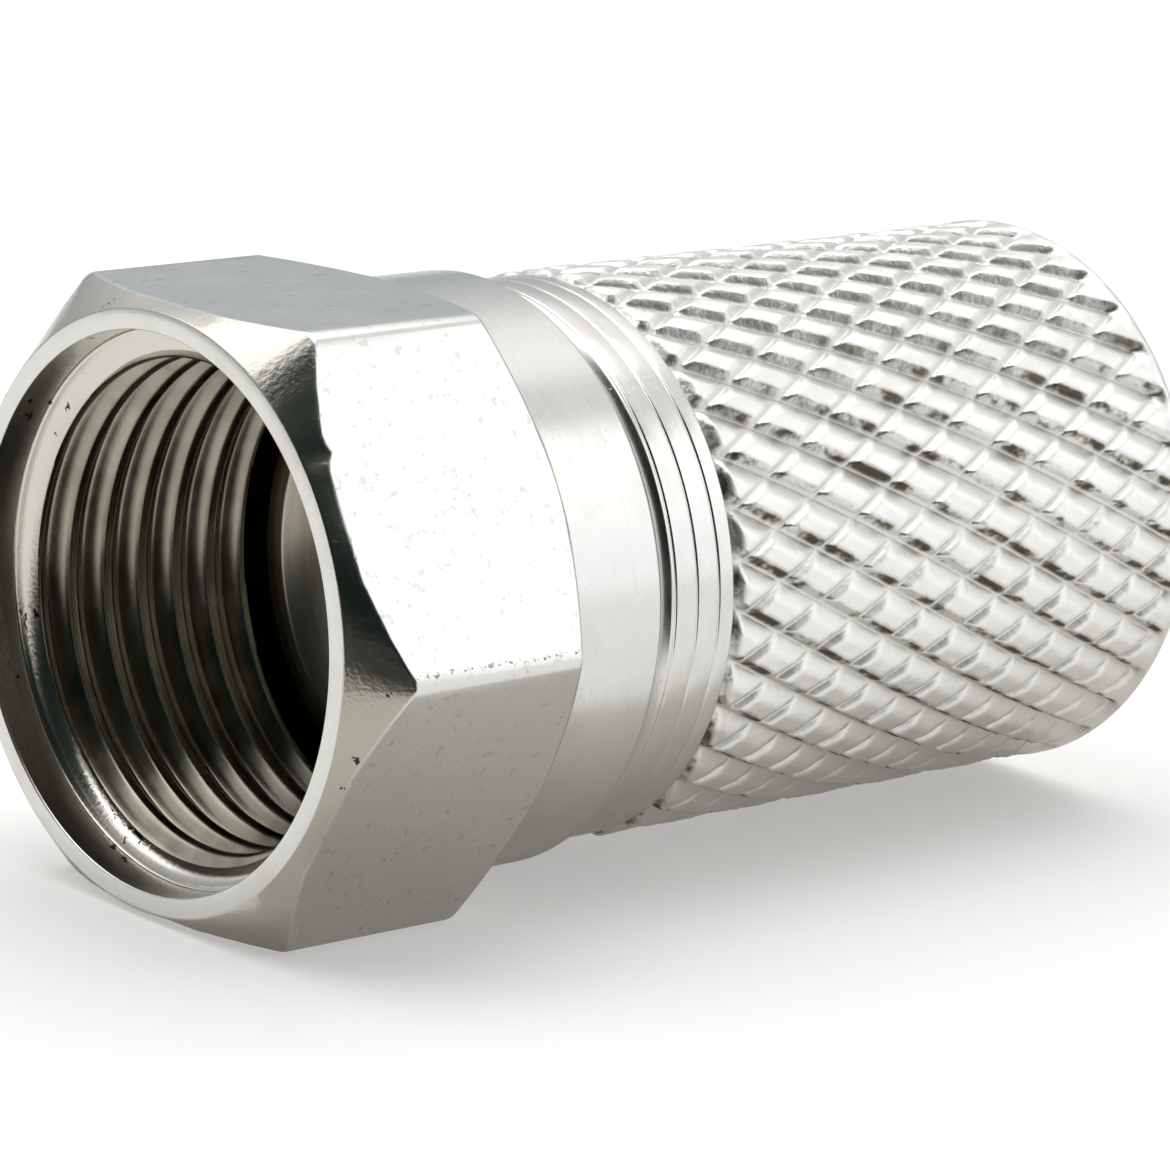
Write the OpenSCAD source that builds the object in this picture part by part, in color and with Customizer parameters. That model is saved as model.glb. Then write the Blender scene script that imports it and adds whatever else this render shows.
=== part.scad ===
// Screw-on F connector for 7 mm coaxial cable: a coupling nut that turns freely on a knurled one-piece body.
// The axis is X. x = 0 is where the coupling thread starts; -X is the mating end and +X the cable end.
// The nut has two of its flats level, one below and one above.

/* [Coupling nut] */
// Width across the flats of the hexagon
nut_across_flats = 11; // [11:0.1:12.5]
// Length of the hexagon, from the front face to its rear shoulder
nut_hex_length = 5.18; // [4.6:0.02:7]
// Length of the whole nut, collar included
nut_length = 7.33; // [7.25:0.01:9]
// Diameter of the round collar behind the hexagon
nut_collar_d = 10.9; // [10.5:0.05:10.9]
// Outer diameter of the flat ring on the front face
nut_face_d = 10.76; // [10.3:0.02:10.9]
// How far the flat ring stands ahead of the front chamfer
nut_face_height = 0.36; // [0.2:0.02:0.4]
// Angle of the front chamfer, from the front face
nut_front_chamfer = 36; // [30:1:45]
// Angle of the rear chamfer, from the collar's end of the hexagon
nut_rear_chamfer = 35; // [20:1:45]
// Bevel on the collar's rear edge
nut_collar_bevel = 0.2; // [0.05:0.05:0.3]

/* [Mouth and coupling thread] */
// Minor diameter of the coupling thread, 3/8-32
thread_minor_d = 8.84; // [8.66:0.01:8.86]
// Length of the threaded stretch
thread_length = 4.4; // [4:0.1:4.6]
// Diameter of the counterbore in the mouth
mouth_d = 10; // [9.7:0.05:10.1]
// Depth of the counterbore
mouth_depth = 0.78; // [0.4:0.02:0.9]
// Depth of the sloping step between the counterbore and the thread
mouth_step = 0.08; // [0.05:0.01:0.2]
// Diameter of the relief behind the thread
relief_d = 9.8; // [9.55:0.05:10]

/* [Turning fit] */
// Diameter of the journal on the body that carries the nut
journal_d = 7.8; // [7.4:0.05:8]
// Radial running clearance between the nut's lip and the journal
journal_clearance = 0.05; // [0.02:0.01:0.09]
// Thickness of the nut's rear lip
lip_thickness = 0.7; // [0.5:0.05:0.8]
// End float of the nut between the contact ring and the shoulder
end_float = 0.3; // [0.1:0.05:0.4]

/* [Contact ring] */
// Diameter of the flared contact ring
ring_d = 8.6; // [8.3:0.05:8.64]
// Thickness of the flared ring at its rim
ring_thickness = 0.45; // [0.3:0.05:0.5]
// Width of the flat contact face round the countersink
ring_face_w = 0.45; // [0.3:0.05:0.5]

/* [Neck and rings] */
// Diameter of the smooth neck
neck_d = 10.4; // [10.2:0.05:10.5]
// Length of the neck, from the shoulder to the undercut
neck_length = 1.65; // [1.5:0.05:3]
// Number of fine turned rings on the neck
ring_line_count = 3; // [2:1:3]
// Distance from one ring line to the next
ring_line_pitch = 0.52; // [0.4:0.02:0.54]
// Distance from the shoulder to the first ring line
ring_line_lead = 0.25; // [0.22:0.01:0.4]
// Width of a ring line
ring_line_w = 0.1; // [0.06:0.01:0.12]

/* [Knurled barrel] */
// Diameter over the flattened tops of the knurl
knurl_d = 10.6; // [10.56:0.02:11]
// Depth of the knurl's grooves
knurl_depth = 0.22; // [0.12:0.01:0.24]
// Grooves round the barrel in each of the two sets
knurl_count = 34; // [30:1:38]
// Distance along the axis from one row of diamonds to the next
knurl_row = 0.95; // [0.85:0.01:1.1]
// Length of the knurled stretch
knurl_length = 11.25; // [9:0.05:15]
// Width of the undercut between the neck and the knurl
undercut_w = 0.3; // [0.2:0.05:0.5]
// Length of the smooth band behind the knurl, rounded edge included
tail_length = 0.45; // [0.4:0.05:0.8]
// Radius of the rounded rear edge
tail_radius = 0.4; // [0.2:0.05:0.4]

/* [Cable bores] */
// Diameter of the hole for the cable's dielectric
dielectric_d = 5.1; // [4.6:0.1:5.6]
// Crest diameter of the self-cutting thread that grips the jacket
jacket_d = 6.5; // [6:0.1:7]
// Length of the jacket hole
jacket_depth = 12; // [10:0.1:12.5]
// Radial width of the lead-in at the rear
lead_in = 0.6; // [0.3:0.05:0.8]

/* [Hidden] */
$fn = 96;

// Stations along the axis
nut_front = -(mouth_depth + mouth_step);
mouth_bottom = -mouth_step;
face_back = nut_front + nut_face_height;
hex_end = nut_front + nut_hex_length;
nut_end = nut_front + nut_length;
lip_front = nut_end - lip_thickness;
ring_back = lip_front - end_float / 2;
ring_front = ring_back - ring_thickness;
shoulder = nut_end + end_float / 2;
neck_end = shoulder + neck_length;
ring_line_start = shoulder + ring_line_lead;
knurl_start = neck_end + undercut_w;
knurl_end = knurl_start + knurl_length;
body_end = knurl_end + tail_length;
jacket_seat = body_end - jacket_depth;

// Radii
hex_corner_r = nut_across_flats / 2 / cos(30);
outside = hex_corner_r + 1;
over = 1;
face_r = nut_face_d / 2;
// The raised face widens to just under the flats, and the chamfer behind it starts just outside them
face_under_flats = 0.03;
face_root_r = nut_across_flats / 2 - face_under_flats;
chamfer_over_flats = 0.12;
chamfer_r = nut_across_flats / 2 + chamfer_over_flats;
collar_r = nut_collar_d / 2;
mouth_r = mouth_d / 2;
thread_r = thread_minor_d / 2;
relief_r = relief_d / 2;
journal_r = journal_d / 2;
ring_r = ring_d / 2;
sink_r = ring_r - ring_face_w;
neck_r = neck_d / 2;
neck_bevel = 0.15;
tip_r = knurl_d / 2;
groove_r = tip_r - knurl_depth;
// Groove bottoms are straight between crossings, and the barrel under the knurl lies just below them
core_cover = 0.04;
core_r = groove_r * cos(90 / knurl_count) - core_cover;
sleeve_wall = 0.3;
knurl_inner_r = core_r - sleeve_wall;
// The tail stands just proud of the tops and starts just inside the last row, so the knurl ends in it
tail_proud = 0.02;
tail_r = tip_r + tail_proud;
tail_overlap = 0.03;
tail_start = knurl_end - tail_overlap;
dielectric_r = dielectric_d / 2;
jacket_r = jacket_d / 2;

// Knurl: rows of diamonds, each half a pitch round from the row before. A groove is a right-angled V.
knurl_rows = round(knurl_length / knurl_row);
row_step = knurl_length / knurl_rows;
knurl_pitch = 360 / knurl_count;
half_chord = PI * groove_r / knurl_count;
half_gap = half_chord * row_step / norm([half_chord, row_step]);
top_share = 1 - knurl_depth / half_gap;

// A revolved outline: points are [x, r], turned round the X axis
module turned(outline) {
    rotate([0, 90, 0])
        rotate_extrude()
            polygon([for (p = outline) [p[1], p[0]]]);
}

// Hexagon bar from x = a to x = b, with a level flat above and below
module hex_bar(a, b) {
    translate([a, 0, 0])
        rotate([90, 0, 90])
            linear_extrude(height = b - a)
                polygon([for (k = [0:5]) hex_corner_r * [cos(60 * k), sin(60 * k)]]);
}

// What the lathe leaves of the bar: the raised face, the front and rear chamfers and the round collar
module nut_turning() {
    front_depth = (outside - chamfer_r) * tan(nut_front_chamfer);
    rear_depth = (outside - collar_r) * tan(nut_rear_chamfer);
    turned([
        [nut_front, 0],
        [nut_front, face_r],
        [face_back, face_root_r],
        [face_back, chamfer_r],
        [face_back + front_depth, outside],
        [hex_end - rear_depth, outside],
        [hex_end, collar_r],
        [nut_end - nut_collar_bevel, collar_r],
        [nut_end, collar_r - nut_collar_bevel],
        [nut_end, 0]
    ]);
}

// Counterbored mouth, thread, relief for the contact ring, and the lip's bore
module nut_bore() {
    lip_r = journal_r + journal_clearance;
    turned([
        [nut_front - over, 0],
        [nut_front - over, mouth_r],
        [mouth_bottom, mouth_r],
        [0, thread_r],
        [thread_length, thread_r],
        [thread_length + relief_r - thread_r, relief_r],
        [lip_front, relief_r],
        [lip_front, lip_r],
        [nut_end + over, lip_r],
        [nut_end + over, 0]
    ]);
}

module coupling_nut() {
    color("#C9CBC6")
        difference() {
            intersection() {
                hex_bar(nut_front, nut_end);
                nut_turning();
            }
            nut_bore();
        }
}

// A fine ring line turned into the neck at x = c
function ring_line(c) = [
    [c - ring_line_w / 2, neck_r],
    [c, neck_r - ring_line_w / 2],
    [c + ring_line_w / 2, neck_r]
];

// The outside of the body, with the barrel at the level under the knurl and the rounded tail behind it
module body_turning() {
    turned(concat(
        [
            [ring_front, 0],
            [ring_front, ring_r],
            [ring_back, ring_r],
            [ring_back, journal_r],
            [shoulder, journal_r],
            [shoulder, neck_r - neck_bevel],
            [shoulder + neck_bevel, neck_r]
        ],
        [for (i = [0:ring_line_count - 1]) each ring_line(ring_line_start + i * ring_line_pitch)],
        [
            [neck_end, neck_r],
            [neck_end + neck_r - core_r, core_r],
            [tail_start, core_r],
            [tail_start, tail_r]
        ],
        [
            for (t = [0:10:90])
                [body_end - tail_radius * (1 - sin(t)), tail_r - tail_radius * (1 - cos(t))]
        ],
        [[body_end, 0]]
    ));
}

// Countersink, dielectric hole, jacket hole and its lead-in
module body_bore() {
    sink_end = ring_front + sink_r - dielectric_r;
    turned([
        [ring_front - over, 0],
        [ring_front - over, sink_r + over],
        [sink_end, dielectric_r],
        [jacket_seat, dielectric_r],
        [jacket_seat, jacket_r],
        [body_end - lead_in, jacket_r],
        [body_end + over, jacket_r + lead_in + over],
        [body_end + over, 0]
    ]);
}

// A point of the knurl: row k along the axis, a pitches round, at radius r. Rows outside the knurl stop at its ends.
function knurl_point(k, a, r) =
    [
        knurl_start + max(0, min(knurl_rows, k)) * row_step,
        r * cos(a * knurl_pitch),
        r * sin(a * knurl_pitch)
    ];

// How far row k is turned from the first, in pitches: odd rows sit half a pitch round
function row_turn(k) = (k % 2) / 2;

// One diamond of the knurl: the groove crossing at its lower side, then the front, upper, rear and lower
// corners of its flattened top
function diamond_points(k, a) = [
    knurl_point(k, a, groove_r),
    knurl_point(k - top_share, a + 1 / 2, tip_r),
    knurl_point(k, a + (1 + top_share) / 2, tip_r),
    knurl_point(k + top_share, a + 1 / 2, tip_r),
    knurl_point(k, a + (1 - top_share) / 2, tip_r)
];

// Index of point m of diamond j in row k, and of point j of the inner ring at end e
function at(k, j, m) = 5 * (k * knurl_count + j % knurl_count) + m;
function inner_at(e, j) = 5 * (knurl_rows + 1) * knurl_count + e * knurl_count + j % knurl_count;

// The flanks and the top of diamond j in row k. The first and last rows are half diamonds, closed by an end face.
function diamond_faces(k, j) =
    let (
        beside = j + k % 2,
        lower = at(k, j, 0),
        upper = at(k, j + 1, 0),
        first = k == 0,
        last = k == knurl_rows,
        front = first ? 0 : at(k - 1, beside, 0),
        rear = last ? 0 : at(k + 1, beside, 0),
        top = [for (m = [0:4]) at(k, j, m)]
    )
    concat(
        [[top[2], top[1], top[4], top[3]]],
        first ? [] : [[front, lower, top[4], top[1]], [upper, front, top[1], top[2]]],
        last ? [] : [[lower, rear, top[3], top[4]], [rear, upper, top[2], top[3]]],
        first ? [[lower, top[4], top[1], top[2], upper, inner_at(0, j + 1), inner_at(0, j)]] : [],
        last ? [[inner_at(1, j), inner_at(1, j + 1), upper, top[2], top[3], top[4], lower]] : []
    );

// The knurl: a sleeve of diamonds whose inner side is buried in the barrel
module knurl() {
    points = concat(
        [for (k = [0:knurl_rows], j = [0:knurl_count - 1]) each diamond_points(k, j + row_turn(k))],
        [
            for (k = [0, knurl_rows], j = [0:knurl_count - 1])
                knurl_point(k, j + row_turn(k), knurl_inner_r)
        ]
    );
    outer = [for (k = [0:knurl_rows], j = [0:knurl_count - 1]) each diamond_faces(k, j)];
    inner = [
        for (j = [0:knurl_count - 1])
            each [
                [inner_at(0, j), inner_at(0, j + 1), inner_at(1, j)],
                [inner_at(0, j + 1), inner_at(1, j + 1), inner_at(1, j)]
            ]
    ];
    polyhedron(points = points, faces = concat(outer, inner));
}

module connector_body() {
    color("#D4D4CE")
        difference() {
            union() {
                body_turning();
                knurl();
            }
            body_bore();
        }
}

coupling_nut();
connector_body();
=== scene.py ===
import math

import bpy
import numpy as np
from mathutils import Matrix, Vector, noise


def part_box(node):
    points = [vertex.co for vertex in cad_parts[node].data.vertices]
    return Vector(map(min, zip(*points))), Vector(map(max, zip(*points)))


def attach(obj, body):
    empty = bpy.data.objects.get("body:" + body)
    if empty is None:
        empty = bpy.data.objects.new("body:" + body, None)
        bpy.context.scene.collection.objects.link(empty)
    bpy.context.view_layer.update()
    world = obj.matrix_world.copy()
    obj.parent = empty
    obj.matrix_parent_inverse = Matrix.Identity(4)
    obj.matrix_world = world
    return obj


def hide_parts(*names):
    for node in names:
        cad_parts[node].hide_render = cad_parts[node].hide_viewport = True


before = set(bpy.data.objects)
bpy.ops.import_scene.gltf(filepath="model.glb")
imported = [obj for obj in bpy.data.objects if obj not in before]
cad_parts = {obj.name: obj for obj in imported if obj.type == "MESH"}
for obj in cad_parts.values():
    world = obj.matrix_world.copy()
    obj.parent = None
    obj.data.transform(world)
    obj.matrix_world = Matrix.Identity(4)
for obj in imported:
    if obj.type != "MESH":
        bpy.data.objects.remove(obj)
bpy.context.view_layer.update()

# Sizes are in millimetres and are turned to metres when a mesh is made.
MM = 0.001
nut_low, nut_high = [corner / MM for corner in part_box("coupling_nut")]
body_low, body_high = [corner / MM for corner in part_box("connector_body")]

# Coupling nut
NUT_FRONT = nut_low.x
NUT_END = nut_high.x
FLAT_R = nut_high.z
CORNER_ROUND = 0.36
CORNER_SPAN = 1.4
CORNER_POINTS = 7
FLAT_POINTS = 37
FACE_R = 5.38
FACE_BEVEL_R = 5.22
FACE_BEVEL = 0.02
FACE_BACK = NUT_FRONT + 0.36
CHAMFER_R = 5.62
COLLAR_R = 5.45
HEX_END = NUT_FRONT + 5.18
FRONT_CHAMFER = math.radians(36)
REAR_CHAMFER = math.radians(35)
COLLAR_BEVEL = 0.2
MOUTH_R = 5.0
MOUTH_BOTTOM = -0.08
THREAD_CREST_R = 4.42
THREAD_ROOT_R = 4.7625
THREAD_PITCH = 25.4 / 32
THREAD_END = 4.4
RELIEF_R = 4.9
LIP_FRONT = NUT_END - 0.7
LIP_R = 3.95
# Places of the grid's lines along one turn of the thread, in hundredths: close together at its edges
THREAD_STEPS = (0, 7, 13, 18, 22, 27, 33, 38, 42, 46, 50, 54, 58, 62, 67, 73, 78, 82, 87, 93)

# Wear at the nut's front, in degrees round it: a notch in the end of one flat, and a speckled corner
NOTCH_AT = 138.7
NOTCH_WIDTH = 1.6
NOTCH_DEPTH = 0.17
RIPPLE_DEPTH = 0.012
WORN_CORNER_AT = 178.4
WORN_CORNER_WIDTH = 1.6

# Connector body
RING_FRONT = body_low.x
RING_BACK = RING_FRONT + 0.45
RING_R = 4.3
SINK_R = 3.85
DIELECTRIC_R = 2.55
JOURNAL_R = 3.9
SHOULDER = 6.62
NECK_R = 5.2
NECK_BEVEL = 0.15
NECK_END = 8.27
RING_LINES = (6.87, 7.39, 7.91)
RING_LINE_HALF = 0.035
RING_LINE_DEPTH = 0.03
VALLEY_R = 5.07
BODY_END = body_high.x
LEAD_IN = 0.6
JACKET_R = 3.25
JACKET_SEAT = 8.27
CUTTING_PITCH = 1.5
CUTTING_ROOT_R = 3.45
CUTTING_STEPS = 9

# Knurled barrel
KNURL_START = 8.57
KNURL_ROW = 0.9375
KNURL_ROWS = 12
KNURL_END = KNURL_START + KNURL_ROWS * KNURL_ROW
KNURL_COUNT = 34
TAIL_R = body_high.z
TIP_R = TAIL_R - 0.02
DEEP_GROOVE = 0.22
SHALLOW_GROOVE = 0.15
HALF_CHORD = math.pi * (TIP_R - DEEP_GROOVE) / KNURL_COUNT
GROOVE_GAP = 2 * HALF_CHORD * KNURL_ROW / math.hypot(HALF_CHORD, KNURL_ROW)
LUMPS_PER_MM = 2.4
CRUMBS_PER_MM = 6.0
WALL_SLOPE = 1.7
RAMP_SLOPE = 0.55
CROSS_SLOPE = 1.1
CELL_STEPS = 12
# Places of the grid's lines across one groove: close together at its walls
DEEP_STEPS = (0, 0.04, 0.12, 0.24, 0.36, 0.46, 0.53, 0.63, 0.74, 0.82, 0.87, 0.94)
CROSS_STEPS = (0, 0.04, 0.1, 0.16, 0.26, 0.38, 0.5, 0.62, 0.74, 0.84, 0.9, 0.96)
CROWDING_ROWS = 4
STEPS_BEFORE = 3
STEPS_AFTER = 5
FRONT_WALL_SLOPE = 2
TAIL_RADIUS = 0.4
TAIL_ARC = (58, 66, 74, 82, 90)
GROOVE_FADE = 0.2

# The dark patches on the steep walls, torn metal with painted shade: place and half width in grooves, and
# their way from a cross groove in mm
BURR_AT = -0.095
BURR_HALF = 0.1
BURR_EDGE = 0.05
BURR_FROM_CROSS = 0.12
FRONT_WALL_EDGE = 0.03

# Gap between two rings that meet at a seam, so that their points aren't merged
SEAM = 0.01


# ---------------------------------------------------------------- mesh building


def soften(profile, radii, steps=4):
    """Rounds the corners of a closed outline. profile is corners x angles x (x, r), radii one size a corner.
    Gives the rows of the rounded outline, and for each the number of the corner it came from."""
    rows, corner_of = [], []
    for i, here in enumerate(profile):
        if radii[i] <= 0:
            rows.append(here)
            corner_of.append(i)
            continue
        to_before = profile[i - 1] - here
        to_after = profile[(i + 1) % len(profile)] - here
        before = np.maximum(np.linalg.norm(to_before, axis=-1, keepdims=True), 1e-9)
        after = np.maximum(np.linalg.norm(to_after, axis=-1, keepdims=True), 1e-9)
        cut = np.minimum(radii[i], 0.45 * np.minimum(before, after))
        start = here + to_before * cut / before
        end = here + to_after * cut / after
        for t in np.linspace(0, 1, steps):
            rows.append((1 - t) ** 2 * start + 2 * t * (1 - t) * here + t * t * end)
            corner_of.append(i)
    return rows, corner_of


class Shell:
    """The points and faces of one piece, gathered ring by ring round the X axis."""

    def __init__(self):
        self.points = []
        self.faces = []
        self.finishes = []
        self.marks = []
        self.count = 0

    def ring(self, x, r, angles, marks=None):
        """Adds a ring of points and gives their numbers. Each point's marks go to the materials."""
        x, r, angles = np.broadcast_arrays(x, r, angles)
        self.points.append(np.stack([x, r * np.cos(angles), r * np.sin(angles)], -1))
        self.marks.append(np.zeros((len(angles), 2)) if marks is None else marks)
        first = self.count
        self.count += len(angles)
        return np.arange(first, self.count)

    def add(self, corners, finish):
        """Adds faces, given as one column of point numbers for each corner."""
        made = np.stack(corners, -1).tolist()
        self.faces += made
        self.finishes += [finish] * len(made)

    def join(self, a, b, finish):
        """Joins two rings. Where one has half as many points, it takes every second one of the other."""
        after_a, after_b = np.roll(a, -1), np.roll(b, -1)
        if len(a) == len(b):
            self.add([a, after_a, after_b, b], finish)
        elif len(a) < len(b):
            self.add([a, b[1::2], b[::2]], finish)
            self.add([a, after_a, after_b[1::2], b[1::2]], finish)
        else:
            self.add([a[::2], a[1::2], b], finish)
            self.add([a[1::2], after_a[1::2], after_b, b], finish)

    def strip(self, rings, finish):
        """Joins each ring to the next."""
        for a, b in zip(rings, rings[1:]):
            self.join(a, b, finish)


def add_thread(shell, angles, pitch, phases, radius_at, first_x, last_x, finish):
    """Adds the wall of a hole with a right-hand thread, as a grid that runs with it between two ends."""
    lowest = math.floor(first_x.min() / pitch - angles.max() / (2 * math.pi))
    highest = math.ceil(last_x.max() / pitch - angles.min() / (2 * math.pi))
    rows = []
    for turn in range(lowest, highest + 2):
        for phase in phases:
            x = pitch * (turn + phase + angles / (2 * math.pi))
            x = np.clip(x, first_x, last_x)
            rows.append(shell.ring(x, radius_at(x, angles), angles))
    per_turn = len(phases)
    for i in range(len(rows) - per_turn - 1):
        a, b = rows[i], rows[i + 1]
        next_a = np.append(a[1:], rows[i + per_turn][0])
        next_b = np.append(b[1:], rows[i + per_turn + 1][0])
        shell.add([a, b, next_b, next_a], finish)


def merge_points(shell):
    """Joins points that coincide and leaves out faces that have shrunk to nothing."""
    points = np.concatenate(shell.points)
    marks = np.concatenate(shell.marks)
    keys = np.round(points, 5)
    _, first, number = np.unique(keys, axis=0, return_index=True, return_inverse=True)
    number = number.reshape(-1)
    faces, finishes = [], []
    for corners, finish in zip(shell.faces, shell.finishes):
        ring = list(dict.fromkeys(int(number[c]) for c in corners))
        if len(ring) > 2:
            faces.append(ring)
            finishes.append(finish)
    return points[first], marks[first], faces, finishes


def make_piece(name, shell, materials, body, node):
    """Turns a shell into a mesh object that stands for a CAD node."""
    points, marks, faces, finishes = merge_points(shell)
    mesh = bpy.data.meshes.new(name)
    mesh.from_pydata((points * MM).tolist(), [], faces)
    for material in materials:
        mesh.materials.append(material)
    mesh.polygons.foreach_set("material_index", finishes)
    mesh.polygons.foreach_set("use_smooth", [True] * len(faces))
    # Two marks for the materials: the depth into a groove, which the knurl paints as shade, and wear, which
    # on the knurl also paints shade on the steep walls and the front wall
    for i, title in enumerate(("groove", "wear_and_shade")):
        layer = mesh.attributes.new(title, "FLOAT", "POINT")
        layer.data.foreach_set("value", marks[:, i].astype(np.float32))
    mesh.update()
    piece = bpy.data.objects.new(name, mesh)
    bpy.context.scene.collection.objects.link(piece)
    flats = piece.modifiers.new("even_flats", "WEIGHTED_NORMAL")
    flats.weight = 80
    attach(piece, body)
    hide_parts(node)


def grain(points, scale, seed):
    """Smooth noise from -1 to 1, with features about 1 / scale mm across."""
    shift = Vector((seed * 17.3, seed * 5.7, seed * 11.9))
    return np.array([noise.noise(Vector(p) * scale + shift) for p in points])


def smooth_min(a, b, softness):
    """The lower of two heights, with the edge between them rounded."""
    share = np.clip(0.5 + 0.5 * (b - a) / softness, 0, 1)
    return b + (a - b) * share - softness * share * (1 - share)


# ---------------------------------------------------------------- coupling nut


def nut_angles():
    """Angles round the nut, close together over the rounded corners of the hexagon."""
    corner = np.linspace(-CORNER_SPAN, CORNER_SPAN, CORNER_POINTS)
    flat = np.linspace(CORNER_SPAN, 60 - CORNER_SPAN, FLAT_POINTS)[1:-1]
    side = np.concatenate([corner, flat])
    return np.radians(np.concatenate([60 * k + side for k in range(6)]))


def hexagon_r(angles):
    """Radius of a hexagon bar with rounded corners."""
    half = math.radians(30)
    off = np.radians(np.abs((np.degrees(angles) + 30) % 60 - 30))
    centre = (FLAT_R - CORNER_ROUND) / math.cos(half)
    inside = np.maximum(CORNER_ROUND**2 - (centre * np.sin(off)) ** 2, 0)
    arc = centre * np.cos(off) + np.sqrt(inside)
    tangent = math.atan2(CORNER_ROUND * math.sin(half), centre + CORNER_ROUND * math.cos(half))
    return np.where(off < tangent, arc, FLAT_R / np.cos(half - off))


def thread_wave(phase, crest_half, root_half, softness):
    """0 on the crest and 1 in the root, with straight flanks and rounded edges. phase counts turns."""
    away = np.abs((phase + 0.5) % 1 - 0.5)
    rise = (away - crest_half) / (0.5 - root_half - crest_half)
    low = np.log1p(np.exp(rise / softness)) * softness
    high = np.log1p(np.exp((rise - 1) / softness)) * softness
    return np.clip(low - high, 0, 1)


def coupling_r(x, angles):
    """Radius of the coupling thread: 60 degree flanks with a flattened crest."""
    phase = x / THREAD_PITCH - angles / (2 * math.pi)
    depth = thread_wave(phase, crest_half=0.13, root_half=0.09, softness=0.06)
    return THREAD_CREST_R + (THREAD_ROOT_R - THREAD_CREST_R) * depth


def thread_ends(angles):
    """Where the coupling thread meets the mouth's step and the relief, as x and radius at each angle.
    Each place depends on the thread's radius there, so it is found in a few rounds."""
    entry_x = np.zeros_like(angles)
    exit_x = entry_x + THREAD_END
    for _ in range(3):
        entry_r = coupling_r(entry_x, angles)
        exit_r = coupling_r(exit_x, angles)
        entry_x = MOUTH_BOTTOM * (entry_r - THREAD_CREST_R) / (MOUTH_R - THREAD_CREST_R)
        exit_x = THREAD_END + exit_r - THREAD_CREST_R
    return entry_x, coupling_r(entry_x, angles), exit_x, coupling_r(exit_x, angles)


def front_wear(angles):
    """How far the front ends of the flats are worn or torn back, with one larger notch."""
    degrees = np.degrees(angles)
    notch = NOTCH_DEPTH * np.exp(-(((degrees - NOTCH_AT) / NOTCH_WIDTH) ** 2))
    ripple = RIPPLE_DEPTH * np.sin(degrees * 0.9) * np.sin(degrees * 0.37 + 1)
    return notch + ripple


def nut_outline(angles, thread):
    """Corners of the nut's outline: x, radius, how far the corner is rounded, and the finish after it."""
    drawn, turned, threaded, worn = range(4)
    entry_x, entry_r, exit_x, exit_r = thread
    side_r = hexagon_r(angles)
    chamfer_x = FACE_BACK + front_wear(angles)
    front_chamfer = np.maximum(side_r - CHAMFER_R, 0) * math.tan(FRONT_CHAMFER)
    rear_chamfer = (side_r - COLLAR_R) * math.tan(REAR_CHAMFER)
    return [
        (NUT_FRONT, MOUTH_R, 0.04, turned),
        (NUT_FRONT, FACE_BEVEL_R, 0, turned),
        (NUT_FRONT + FACE_BEVEL, FACE_R, 0.03, worn),
        (chamfer_x + front_chamfer, side_r, 0.05, drawn),
        (HEX_END - rear_chamfer, side_r, 0.07, turned),
        (HEX_END, COLLAR_R, 0.05, turned),
        (NUT_END - COLLAR_BEVEL, COLLAR_R, 0.05, turned),
        (NUT_END, COLLAR_R - COLLAR_BEVEL, 0.05, turned),
        (NUT_END, LIP_R, 0.04, turned),
        (LIP_FRONT, LIP_R, 0.04, threaded),
        (LIP_FRONT, RELIEF_R, 0.08, threaded),
        (THREAD_END + RELIEF_R - THREAD_CREST_R, RELIEF_R, 0.05, threaded),
        (exit_x, exit_r, 0, None),
        (entry_x, entry_r, 0, worn),
        (MOUTH_BOTTOM, MOUTH_R, 0.06, worn),
    ]


def build_nut(materials):
    """The nut as rings round its closed outline, with the thread's wall as a grid of its own."""
    threaded = 2
    angles = nut_angles()
    thread = thread_ends(angles)
    corners = nut_outline(angles, thread)
    profile = [np.stack(np.broadcast_arrays(x, r, angles)[:2], -1) for x, r, _, _ in corners]
    rows, corner_of = soften(profile, [radius for _, _, radius, _ in corners])
    wear = np.clip(1 - np.abs(np.degrees(angles) - WORN_CORNER_AT) / WORN_CORNER_WIDTH, 0, 1)
    marks = np.stack([np.zeros_like(wear), wear], -1)
    shell = Shell()
    rings = [shell.ring(row[:, 0], row[:, 1], angles, marks) for row in rows]
    for i, ring in enumerate(rings):
        finish = corners[corner_of[i]][3]
        if finish is not None:
            shell.join(ring, rings[(i + 1) % len(rings)], finish)
    phases = np.array(THREAD_STEPS) / 100
    add_thread(shell, angles, THREAD_PITCH, phases, coupling_r, thread[0], thread[2], threaded)
    make_piece("coupling_nut_turned", shell, materials, "nut", "coupling_nut")


# ---------------------------------------------------------------- connector body


def tail_r(x):
    """Radius left by the rounded rear edge."""
    inside = np.clip(x - (BODY_END - TAIL_RADIUS), 0, TAIL_RADIUS)
    return TAIL_R - TAIL_RADIUS + np.sqrt(TAIL_RADIUS**2 - inside**2)


def diamond_height(x, angles, across, from_cross):
    """Height above the deep grooves, which have a torn steep wall on one side and a ramp on the other.
    across counts grooves from the nearest deep one, and from_cross is the way to the nearest shallow one."""
    points = np.stack([x, TIP_R * np.cos(angles), TIP_R * np.sin(angles)], -1)
    lumps = grain(points, LUMPS_PER_MM, 2)
    crumbs = grain(points, CRUMBS_PER_MM, 3)
    slope = np.where(across < 0, -WALL_SLOPE, RAMP_SLOPE)
    tear = np.where(across < -0.03, 0.03 * lumps + 0.035 * crumbs, 0.004 * lumps)
    deep = across * GROOVE_GAP * slope + tear
    shallow = DEEP_GROOVE - SHALLOW_GROOVE + CROSS_SLOPE * from_cross + 0.02 * lumps
    top = DEEP_GROOVE - 0.02 + 0.016 * lumps + 0.014 * crumbs
    return smooth_min(smooth_min(deep, shallow, 0.05), top, 0.04)


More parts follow.
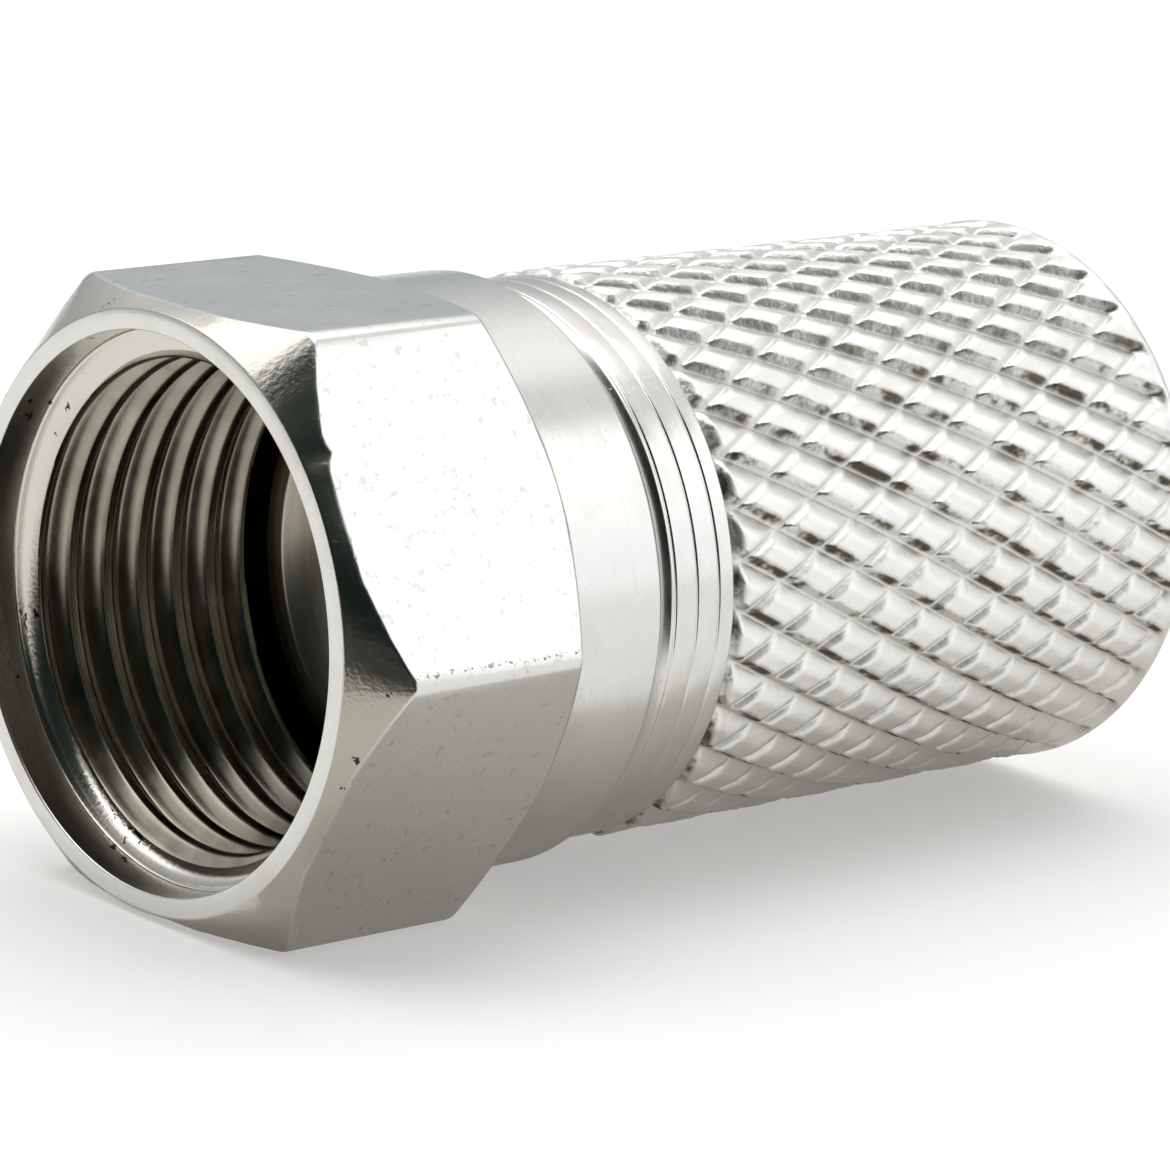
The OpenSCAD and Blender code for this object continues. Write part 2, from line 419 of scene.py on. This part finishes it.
def knurl_r(x, angles, u, v):
    """Radius of the knurl and its marks. u counts the grooves of the deep set, v those of the shallow."""
    across = u - np.round(u)
    from_cross = np.abs(v - np.round(v)) * GROOVE_GAP
    height = diamond_height(x, angles, across, from_cross)
    fade = np.clip((x - KNURL_END + GROOVE_FADE / 2) / GROOVE_FADE, 0, 1)
    height = np.clip(height, 0, DEEP_GROOVE) * (1 - fade) + (DEEP_GROOVE + TAIL_R - TIP_R) * fade
    r = TIP_R - DEEP_GROOVE + height
    wall = VALLEY_R + FRONT_WALL_SLOPE * (x - KNURL_START + STEPS_BEFORE / CELL_STEPS * KNURL_ROW)
    on_wall = np.clip((BURR_HALF - np.abs(across - BURR_AT)) / BURR_EDGE, 0, 1)
    wear_and_shade = on_wall * np.clip(from_cross / BURR_FROM_CROSS, 0, 1)
    front = np.clip((r - wall) / FRONT_WALL_EDGE, 0, 1)
    # Marks for the material: the depth into the groove, painted as shade, and the dark patches, torn metal
    # with painted shade on the steep walls and painted shade on the front wall
    marks = np.stack([1 - height / DEEP_GROOVE, np.maximum(wear_and_shade * (1 - fade), front)], -1)
    return np.minimum(r, np.minimum(wall, tail_r(x))), marks


def crowd(numbers, steps, share):
    """Moves evenly spaced grid lines towards the places in steps, by a share of the way."""
    even = numbers / CELL_STEPS
    wanted = np.floor(even) + np.array(steps)[numbers % CELL_STEPS]
    return even + (wanted - even) * share


def add_knurl(shell, finish):
    """Adds the knurl as a grid that runs along both sets of grooves. Gives its first and last rings."""
    around = KNURL_COUNT * CELL_STEPS
    numbers = np.arange(around)
    last_row = KNURL_ROWS * CELL_STEPS + STEPS_AFTER
    rings = []
    for j in range(-STEPS_BEFORE, last_row + 1):
        share = min(1, (j + STEPS_BEFORE) / CROWDING_ROWS, (last_row - j) / CROWDING_ROWS)
        u = crowd(numbers, DEEP_STEPS, share)
        v = crowd(numbers + j, CROSS_STEPS, share)
        x = KNURL_START + (v - u) * KNURL_ROW
        angles = (u + v) / 2 * 2 * math.pi / KNURL_COUNT
        r, marks = knurl_r(x, angles, u, v)
        rings.append(shell.ring(x, r, angles, marks))
    first, last = rings[0], rings[-1]
    shell.add([first, np.roll(first, -1), rings[1]], finish)
    for before, here, after in zip(rings, rings[1:], rings[2:]):
        shell.add([here, np.roll(before, -1), np.roll(here, -1), after], finish)
    shell.add([last, np.roll(rings[-2], -1), np.roll(last, -1)], finish)
    return first, last


def cutting_r(x, angles):
    """Radius of the coarse thread that cuts into the cable's jacket, running out at both ends."""
    phase = x / CUTTING_PITCH - angles / (2 * math.pi)
    depth = thread_wave(phase, crest_half=0.12, root_half=0.25, softness=0.1)
    ends = np.clip(np.minimum(x - JACKET_SEAT, BODY_END - LEAD_IN - x) / CUTTING_PITCH, 0, 1)
    return JACKET_R + (CUTTING_ROOT_R - JACKET_R) * depth * ends


def ring_line(x):
    """Corners of one fine line turned into the neck."""
    return [
        (x - RING_LINE_HALF, NECK_R, 0.012),
        (x, NECK_R - RING_LINE_DEPTH, 0),
        (x + RING_LINE_HALF, NECK_R, 0.012),
    ]


def turned_rings(shell, corners, angles):
    """Rings of an open turned outline, with its corners rounded. Its two ends stay sharp."""
    profile = [np.stack(np.broadcast_arrays(x, r, angles)[:2], -1) for x, r, _ in corners]
    radii = [0] + [radius for _, _, radius in corners[1:-1]] + [0]
    return [shell.ring(row[:, 0], row[:, 1], angles) for row in soften(profile, radii)[0]]


def knurl_end_angles():
    """Angles of the points in the knurl's first and last rings."""
    first = (2 * np.arange(KNURL_COUNT * CELL_STEPS) - STEPS_BEFORE) / (2 * CELL_STEPS)
    last = first + (KNURL_ROWS * CELL_STEPS + STEPS_AFTER + STEPS_BEFORE) / (2 * CELL_STEPS)
    return [a * 2 * math.pi / KNURL_COUNT for a in (first, last)]


def contact_ring_outline():
    """The countersunk mouth, the flared ring, and the step behind it down to the journal."""
    return [
        (RING_FRONT + SINK_R - DIELECTRIC_R, DIELECTRIC_R, 0),
        (RING_FRONT, SINK_R, 0.05),
        (RING_FRONT, RING_R, 0.06),
        (RING_BACK, RING_R, 0.05),
        (RING_BACK, JOURNAL_R, 0),
    ]


def neck_outline():
    """The journal, the shoulder and the neck with its lines, down to the undercut in front of the knurl."""
    neck = [
        (RING_BACK, JOURNAL_R, 0),
        (SHOULDER, JOURNAL_R, 0.05),
        (SHOULDER, NECK_R - NECK_BEVEL, 0.04),
        (SHOULDER + NECK_BEVEL, NECK_R, 0.05),
    ]
    for x in RING_LINES:
        neck += ring_line(x)
    valley = KNURL_START - STEPS_BEFORE / CELL_STEPS * KNURL_ROW
    return neck + [(NECK_END, NECK_R, 0.04), (valley - SEAM, VALLEY_R, 0)]


def tail_outline():
    """The rest of the rounded rear edge, the rear face and the lead-in to the cable's hole."""
    tail_start = BODY_END - TAIL_RADIUS
    arc = [tail_start + TAIL_RADIUS * math.sin(math.radians(t)) for t in TAIL_ARC]
    corners = [(x, float(tail_r(x)), 0) for x in arc]
    return corners + [(BODY_END, JACKET_R + LEAD_IN, 0.04), (BODY_END - LEAD_IN, JACKET_R, 0)]


def add_cable_hole(shell, mouth, angles, finish):
    """Adds the wall of the cable's hole with its cutting thread, from the ring at its mouth to its seat."""
    seat_x = np.full(len(angles), JACKET_SEAT)
    mouth_x = np.full(len(angles), BODY_END - LEAD_IN) - SEAM
    shell.join(mouth, shell.ring(mouth_x, JACKET_R, angles), finish)
    phases = np.arange(CUTTING_STEPS) / CUTTING_STEPS
    add_thread(shell, angles, CUTTING_PITCH, phases, cutting_r, seat_x, mouth_x, finish)


def build_body(materials):
    """The body from the contact ring to the rear edge, and back through the two holes to the front."""
    turned, knurled, bored = range(3)
    first_angles, last_angles = knurl_end_angles()
    front_angles = first_angles[::2]
    shell = Shell()
    contact = turned_rings(shell, contact_ring_outline(), front_angles)
    shell.strip(contact, bored)
    front = turned_rings(shell, neck_outline(), front_angles)
    shell.strip(front, turned)
    first, last = add_knurl(shell, knurled)
    shell.join(front[-1], first, turned)
    rear = turned_rings(shell, tail_outline(), last_angles[::2])
    shell.join(last, rear[0], turned)
    shell.strip(rear, turned)
    add_cable_hole(shell, rear[-1], last_angles[::4], bored)
    seat_angles = front_angles[::2]
    seat = shell.ring(JACKET_SEAT, JACKET_R, seat_angles)
    step = shell.ring(JACKET_SEAT, DIELECTRIC_R, seat_angles)
    shell.strip([seat, step, contact[0]], bored)
    make_piece("connector_body_knurled", shell, materials, "body", "connector_body")


# ---------------------------------------------------------------- finishes


def linear(colour):
    """An sRGB hex colour as linear red, green, blue and alpha."""
    parts = [int(colour[i : i + 2], 16) / 255 for i in (1, 3, 5)]
    return [c / 12.92 if c <= 0.04045 else ((c + 0.055) / 1.055) ** 2.4 for c in parts] + [1]


def add(material, kind, settings=None, links=None):
    """Adds a node. settings are its properties or its inputs' values, links are what feeds its inputs."""
    tree = material.node_tree
    made = tree.nodes.new("ShaderNode" + kind)
    for key, value in (settings or {}).items():
        if isinstance(key, str) and hasattr(made, key):
            setattr(made, key, value)
        else:
            made.inputs[key].default_value = value
    for key, output in (links or {}).items():
        tree.links.new(output, made.inputs[key])
    return made


def ramp(material, source, stops):
    """A colour ramp fed by source. stops are (place, sRGB hex colour)."""
    made = add(material, "ValToRGB", links={0: source})
    elements = made.color_ramp.elements
    while len(elements) < len(stops):
        elements.new(0.5)
    for element, (place, colour) in zip(elements, stops):
        element.position = place
        element.color = linear(colour)
    return made.outputs[0]


def start_finish(name):
    """A material with its nodes on, its place on the part in millimetres, and the shader."""
    material = bpy.data.materials.new(name)
    material.use_nodes = True
    shader = material.node_tree.nodes["Principled BSDF"]
    shader.inputs["Metallic"].default_value = 1
    place = add(material, "TexCoord").outputs["Object"]
    scaled = add(material, "VectorMath", {"operation": "SCALE", "Scale": 1 / MM}, {0: place})
    return material, shader, scaled.outputs[0]


def feed(material, shader, **outputs):
    """Links outputs to the shader's inputs, named with _ for a space."""
    for socket, output in outputs.items():
        material.node_tree.links.new(output, shader.inputs[socket.replace("_", " ")])


def bumps(material, layers):
    """Bump nodes one on another. layers are (height output, depth in mm)."""
    normal = None
    for height, depth in layers:
        links = {"Height": height}
        if normal:
            links["Normal"] = normal
        made = add(material, "Bump", {"Distance": depth * MM, "Strength": 1}, links)
        normal = made.outputs[0]
    return normal


def mottle(material, place, scale, detail, roughness=0.5):
    """Noise of about 0.3 to 0.7, with features about 1 / scale mm across."""
    settings = {"Scale": scale, "Detail": detail, "Roughness": roughness}
    return add(material, "TexNoise", settings, {"Vector": place}).outputs[0]


def calculate(material, operation, *values):
    """A Math node. values are numbers or outputs."""
    numbers = {i: value for i, value in enumerate(values) if isinstance(value, (int, float))}
    outputs = {i: value for i, value in enumerate(values) if i not in numbers}
    return add(material, "Math", {"operation": operation, **numbers}, outputs).outputs[0]


def remap(material, source, low, high, to_low=0, to_high=1):
    """Turns low to high into to_low to to_high, and holds the ends beyond them."""
    settings = {"From Min": low, "From Max": high, "To Min": to_low, "To Max": to_high}
    return add(material, "MapRange", settings, {"Value": source}).outputs[0]


def mark(material, title):
    """One of the two marks that a shell's points carry: the depth into a groove, which the knurl turns into
    painted shade, and a mark of wear, which on the knurl also paints shade.
    """
    return add(material, "Attribute", {"attribute_name": title}).outputs["Fac"]


def turning_marks(material, place, lines_per_mm):
    """Fine rings left by the lathe: a grain that changes along the axis and with the radius, not round."""
    parts = add(material, "SeparateXYZ", links={0: place}).outputs
    squares = [calculate(material, "MULTIPLY", parts[i], parts[i]) for i in (1, 2)]
    radius = calculate(material, "SQRT", calculate(material, "ADD", *squares))
    rings = add(material, "CombineXYZ", links={0: parts[0], 1: radius}).outputs[0]
    wander = add(material, "VectorMath", {"operation": "SCALE", "Scale": 0.006}, {0: place}).outputs[0]
    lines = add(material, "VectorMath", {"operation": "ADD"}, {0: rings, 1: wander}).outputs[0]
    return mottle(material, lines, lines_per_mm, 3, 0.6)


def pitting(material, place, scale, low, high):
    """Scattered pits: 0 in a pit and 1 on the sound plate."""
    return remap(material, mottle(material, place, scale, 4, 0.6), low, high)


def spread(material, source, low, high):
    """Turns a mottle into a value from low to high."""
    return remap(material, source, 0.3, 0.7, low, high)


def drawn_bar_finish():
    """Nickel plate on drawn hexagon bar: smooth and bright, with faint grey pits and a speckled corner."""
    material, shader, place = start_finish("nickel_plate_on_drawn_bar")
    ripple = mottle(material, place, 1.2, 3)
    sound = pitting(material, place, 5, 0.33, 0.4)
    level = calculate(material, "MULTIPLY_ADD", mark(material, "wear_and_shade"), 0.4, 0.12)
    torn = calculate(material, "LESS_THAN", mottle(material, place, 9, 4, 0.7), level)
    intact = calculate(material, "MULTIPLY_ADD", torn, -1, 1)
    shallow = calculate(material, "MULTIPLY_ADD", sound, 0.8, 0.2)
    whole = calculate(material, "MINIMUM", intact, shallow)
    colour = ramp(material, whole, [(0.0, "#8D867B"), (0.2, "#C9C7C3"), (1.0, "#DCDBD8")])
    rough = spread(material, ripple, 0.2, 0.28)
    normal = bumps(material, [(ripple, 0.005), (whole, 0.002)])
    feed(material, shader, Base_Color=colour, Roughness=rough, Normal=normal)
    return material


def turned_finish():
    """Nickel plate on turned brass: bright, with the lathe's fine rings still to be seen."""
    material, shader, place = start_finish("nickel_plate_on_turned_brass")
    rings = turning_marks(material, place, 9)
    stain = mottle(material, place, 0.6, 4, 0.6)
    sound = pitting(material, place, 8, 0.28, 0.4)
    colour = ramp(material, stain, [(0.3, "#D2CFC8"), (0.5, "#DBDAD7"), (0.7, "#D6D7D4")])
    rough = spread(material, rings, 0.18, 0.28)
    normal = bumps(material, [(rings, 0.002), (sound, 0.002)])
    feed(material, shader, Base_Color=colour, Roughness=rough, Normal=normal)
    return material


def worn_finish():
    """Nickel plate on coarse turning, at the chamfer and the mouth's step: sandy, with some black pits."""
    material, shader, place = start_finish("nickel_plate_on_coarse_turning")
    sand = mottle(material, place, 11, 4, 0.6)
    limit = remap(material, mottle(material, place, 0.5, 2), 0.4, 0.65, 0.2, 0.42)
    hole = calculate(material, "LESS_THAN", mottle(material, place, 4, 3, 0.6), limit)
    colour = ramp(material, hole, [(0.0, "#D2CEC6"), (1.0, "#4A463F")])
    normal = bumps(material, [(sand, 0.006), (hole, -0.02)])
    shader.inputs["Roughness"].default_value = 0.2
    feed(material, shader, Base_Color=colour, Normal=normal)
    return material


def thread_finish_with_painted_shade():
    """Nickel plate in the thread: smooth and a little brown, with its colour painted darker as the shade
    inside the thread.
    """
    material, shader, place = start_finish("nickel_plate_in_the_thread_painted_darker")
    blotch = mottle(material, place, 1.2, 3)
    # Painted shade: darker colours than the plate outside, for the shade inside the thread
    colour = ramp(material, blotch, [(0.35, "#908B7E"), (0.65, "#ABA699")])
    rough = spread(material, blotch, 0.2, 0.28)
    normal = bumps(material, [(turning_marks(material, place, 10), 0.0012)])
    feed(material, shader, Base_Color=colour, Roughness=rough, Normal=normal)
    return material


def knurled_finish():
    """Nickel plate on the knurl: frosted and pale, with dark brown patches on the steep walls, torn metal
    with painted shade, and on the front wall, painted shade. The grooves get a little painted shade with
    their depth, and higher up on the barrel the patches are painted paler, as painted light from above."""
    material, shader, place = start_finish("nickel_plate_on_the_knurl")
    wear_and_shade = mark(material, "wear_and_shade")
    tears = mottle(material, place, 8, 4, 0.65)
    torn = remap(material, mottle(material, place, 1.6, 3, 0.6), 0.44, 0.6)
    height = add(material, "SeparateXYZ", links={0: place}).outputs[2]
    # Painted light from above: the dark patches fade towards the top of the barrel
    painted_light_from_above = remap(material, height, 2.6, 4.6, 1, 0.3)
    # Painted shade, partly real: torn metal on the steep walls darkened with their shade, and the front
    # wall's shade
    dark = calculate(material, "MULTIPLY", calculate(material, "MULTIPLY", wear_and_shade, torn), painted_light_from_above)
    # Painted shade: the deeper in a groove, the darker the colour
    tears_and_painted_shade = calculate(material, "MULTIPLY_ADD", mark(material, "groove"), 0.14, dark)
    colour = ramp(material, tears_and_painted_shade, [(0.0, "#EDECE9"), (0.2, "#DAD9D4"), (0.7, "#7F786D"), (1.0, "#5F594F")])
    rough = remap(material, dark, 0, 1, 0.42, 0.55)
    rips = calculate(material, "MULTIPLY", wear_and_shade, tears)
    normal = bumps(material, [(tears, 0.01), (rips, 0.012)])
    feed(material, shader, Base_Color=colour, Roughness=rough, Normal=normal)
    return material


def bored_finish():
    """Thin nickel plate in the bores and on the contact ring: duller, a little brown, with drill rings."""
    material, shader, place = start_finish("nickel_plate_in_the_bores")
    rings = turning_marks(material, place, 6)
    colour = ramp(material, rings, [(0.3, "#B9B3A5"), (0.7, "#CBC6BA")])
    normal = bumps(material, [(rings, 0.003)])
    shader.inputs["Roughness"].default_value = 0.3
    feed(material, shader, Base_Color=colour, Normal=normal)
    return material


turned = turned_finish()
build_nut([drawn_bar_finish(), turned, thread_finish_with_painted_shade(), worn_finish()])
build_body([turned, knurled_finish(), bored_finish()])


# ---------------------------------------------------------------- studio

PART_CENTRE = Vector((8.22, 0, 0)) * MM

# Metres
FLOOR = -FLAT_R * MM
FLOOR_REACH = 3.0
BOARD_RISE = 0.00002

# How much of plain white is added to the floor where it is seen
FLOOR_LIFT = 0.36

# Camera: azimuth, elevation and roll in degrees, and millimetres
CAMERA_ANGLES = (-42.045, 13.531, 3.052)
CAMERA_DISTANCE = 108.116
CAMERA_RIGHT = 0.819
CAMERA_DOWN = 0.540
LENS = 180.22
SENSOR_WIDTH = 36


def seen_directly(material):
    """1 for what the camera, a metal or a glass sees of a surface, and 0 for the light it throws back."""
    path = add(material, "LightPath").outputs
    seen = calculate(material, "MAXIMUM", path["Is Camera Ray"], path["Is Glossy Ray"])
    return calculate(material, "MAXIMUM", seen, path["Is Transmission Ray"])


def lay_down(name, material, low, high, level):
    """A level rectangle for the studio's floor and boards."""
    (x0, y0), (x1, y1) = low, high
    mesh = bpy.data.meshes.new(name)
    points = [(x0, y0, level), (x1, y0, level), (x1, y1, level), (x0, y1, level)]
    mesh.from_pydata(points, [], [(0, 1, 2, 3)])
    mesh.materials.append(material)
    made = bpy.data.objects.new(name, mesh)
    bpy.context.scene.collection.objects.link(made)
    return made


def matt_paint(name, albedo, glow):
    """Matt paint without any shine, which glows a little by itself. Gives the material and its shader."""
    material = bpy.data.materials.new(name)
    material.use_nodes = True
    shader = material.node_tree.nodes["Principled BSDF"]
    shader.inputs["Base Color"].default_value = linear(albedo)
    shader.inputs["Roughness"].default_value = 0.9
    shader.inputs["Specular IOR Level"].default_value = 0
    shader.inputs["Emission Color"].default_value = linear(glow)
    shader.inputs["Emission Strength"].default_value = 1
    return material, shader


def build_floor():
    """A large matt white board, lifted to plain white where it is seen, that keeps the shadow."""
    material, shader = matt_paint("matt_white_board", "#D8D8D6", "#FFFFFF")
    lift = calculate(material, "MULTIPLY", seen_directly(material), FLOOR_LIFT)
    feed(material, shader, Emission_Strength=lift)
    lay_down("floor", material, (-FLOOR_REACH, -FLOOR_REACH), (FLOOR_REACH, FLOOR_REACH), FLOOR)


def aim(thing, direction, distance):
    """Places a lamp or a card at a distance from the part, facing it."""
    away = Vector(direction).normalized()
    thing.location = PART_CENTRE + away * distance
    thing.rotation_mode = "QUATERNION"
    thing.rotation_quaternion = away.to_track_quat("Z", "Y")


def softbox(name, direction, distance, width, height, brightness, only_reflected=False):
    """A lamp with an even square face. brightness 1 is the white of the floor."""
    lamp = bpy.data.lights.new(name, "AREA")
    lamp.shape = "RECTANGLE"
    lamp.size, lamp.size_y = width, height
    lamp.energy = brightness * math.pi * width * height
    holder = bpy.data.objects.new(name, lamp)
    bpy.context.scene.collection.objects.link(holder)
    aim(holder, direction, distance)
    holder.visible_camera = False
    holder.visible_diffuse = not only_reflected


def board(name, corners, albedo, glow):
    """A board just above the floor that only metal reflects, glowing a little: a painted reflection, grey
    for painted shade of the floor and dark for a painted dark reflection. It throws no shadow. corners are
    in mm.
    """
    material, _ = matt_paint(name, albedo, glow)
    low, high = [(x * MM, y * MM) for x, y in corners]
    made = lay_down(name, material, low, high, FLOOR + BOARD_RISE)
    made.visible_camera = False
    made.visible_diffuse = False
    made.visible_transmission = False
    made.visible_shadow = False


def build_sky():
    """Cool grey walls that brighten to a white ceiling, and a dark room behind the camera."""
    world = bpy.data.worlds.new("studio")
    bpy.context.scene.world = world
    world.use_nodes = True
    sky = world.node_tree.nodes["Background"]
    direction = add(world, "TexCoord").outputs["Generated"]
    height = add(world, "SeparateXYZ", links={0: direction}).outputs[2]
    walls = ramp(world, height, [(0.15, "#B2B8BB"), (0.75, "#F4F4F2")])
    settings = {"operation": "DOT_PRODUCT", 1: (-0.68, -0.73, 0)}
    behind = add(world, "VectorMath", settings, {0: direction}).outputs["Value"]
    room = ramp(world, behind, [(0.22, "#FFFFFF"), (0.32, "#202D28")])
    colour = add(world, "VectorMath", {"operation": "MULTIPLY"}, {0: walls, 1: room}).outputs[0]
    world.node_tree.links.new(colour, sky.inputs["Color"])


def build_studio():
    """Lamps for the bright bands in the metal, and boards that only the metal sees for its grey and dark
    ones: painted shade of the floor near the part, and a painted dark reflection.
    """
    build_floor()
    build_sky()
    softbox("side_reflector", (0.66, -0.68, 0.28), 0.45, 0.5, 0.44, 0.85, only_reflected=True)
    softbox("top_strip", (0.64, 0.32, 0.66), 0.45, 0.3, 0.14, 0.35)
    softbox("ceiling", (0.1, 0.1, 1), 0.9, 0.9, 0.9, 1.6)
    softbox("left_softbox", (-0.46, 0.48, 0.75), 0.45, 0.3, 0.26, 0.9)
    # Painted shade: grey glowing boards that only the metal sees, for the floor's shade near the part
    board("painted_shade_below", [(-1, -9), (40, 14)], "#BEBBB6", "#73716D")
    board("painted_shade_in_front", [(-24, -16), (-1, -3)], "#BEBBB6", "#73716D")
    # Painted reflection: a dark glowing board that only the metal sees, for the dark band in the nut's front
    # chamfer
    board("painted_dark_reflection", [(-400, -400), (4, -16)], "#000000", "#22241F")


def build_camera():
    """A long lens low in front of the mouth, turned a little about its own axis."""
    azimuth, elevation, roll = [math.radians(a) for a in CAMERA_ANGLES]
    level = math.cos(elevation)
    back = Vector((math.sin(azimuth) * level, -math.cos(azimuth) * level, math.sin(elevation)))
    right = Vector((math.cos(azimuth), math.sin(azimuth), 0))
    up = back.cross(right)
    turned_right = right * math.cos(roll) + up * math.sin(roll)
    turned_up = up * math.cos(roll) - right * math.sin(roll)
    camera_data = bpy.data.cameras.new("camera")
    camera_data.lens = LENS
    camera_data.sensor_width = SENSOR_WIDTH
    camera_data.clip_start = 0.01
    camera_data.clip_end = 20
    camera = bpy.data.objects.new("camera", camera_data)
    bpy.context.scene.collection.objects.link(camera)
    away = back * CAMERA_DISTANCE + turned_right * CAMERA_RIGHT - turned_up * CAMERA_DOWN
    place = PART_CENTRE + away * MM
    axes = Matrix((turned_right, turned_up, back)).transposed()
    camera.matrix_world = Matrix.Translation(place) @ axes.to_4x4()
    bpy.context.scene.camera = camera


build_studio()
build_camera()
bpy.context.scene.view_settings.view_transform = "Standard"
